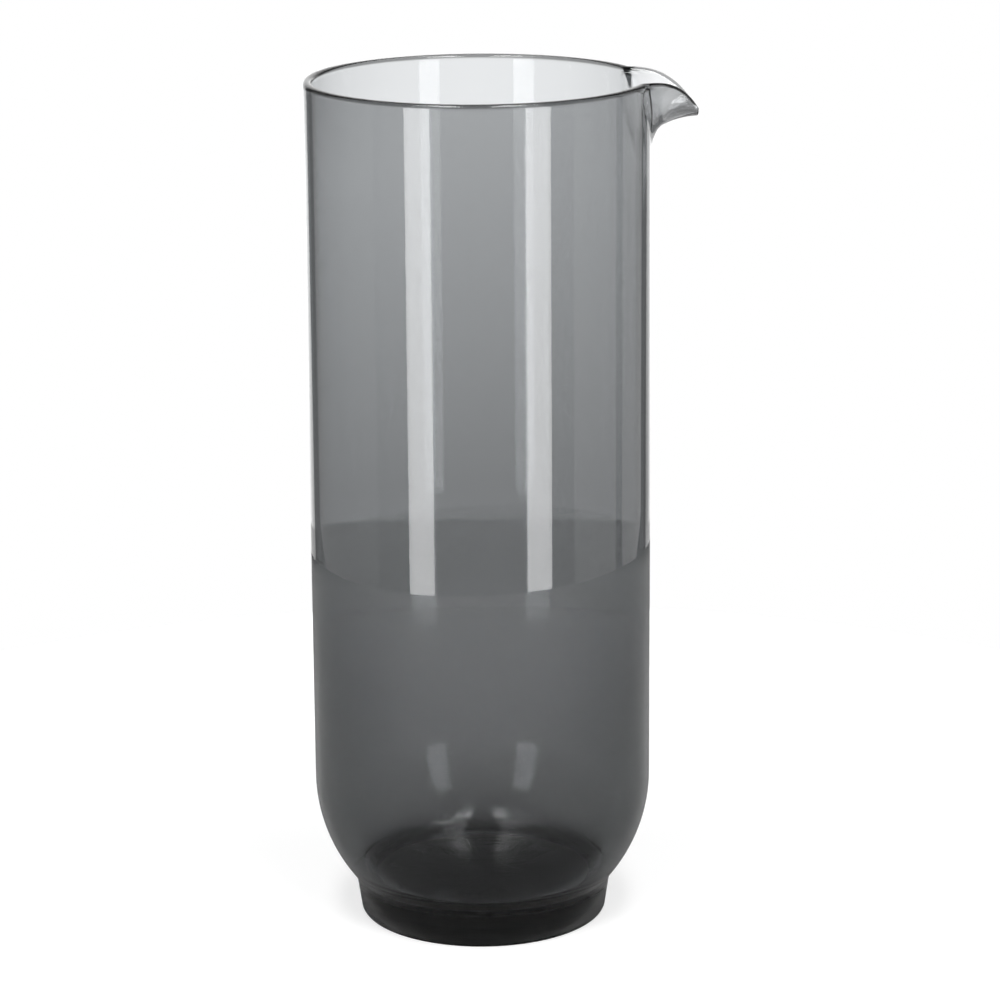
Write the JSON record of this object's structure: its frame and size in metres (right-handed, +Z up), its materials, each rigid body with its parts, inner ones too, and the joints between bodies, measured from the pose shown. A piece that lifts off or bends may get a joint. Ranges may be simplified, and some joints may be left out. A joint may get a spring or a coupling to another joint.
{
  "type": "carafe",
  "caption": "Tall cylindrical smoke-grey glass carafe, open at the top, with a pulled pouring spout, a rounded bowl on a solid foot and a satin lower half, for serving drinks.",
  "frame": {"origin": "centre of the flat base, on the axis of the body", "axes": "+Z up along the body's axis, +X towards the tip of the spout"},
  "size_m": [0.1087, 0.0954, 0.239],
  "materials": {
    "smoked_glass": "clear and glossy",
    "thick_glass": "clear glass, dark through its thickness",
    "satin_lacquer": "satin, see-through"
  },
  "bodies": {
    "root": {"glass_body": "smoked_glass", "pouring_spout": "smoked_glass", "solid_foot": "thick_glass", "satin_coat": "satin_lacquer"}
  },
  "joints": []
}
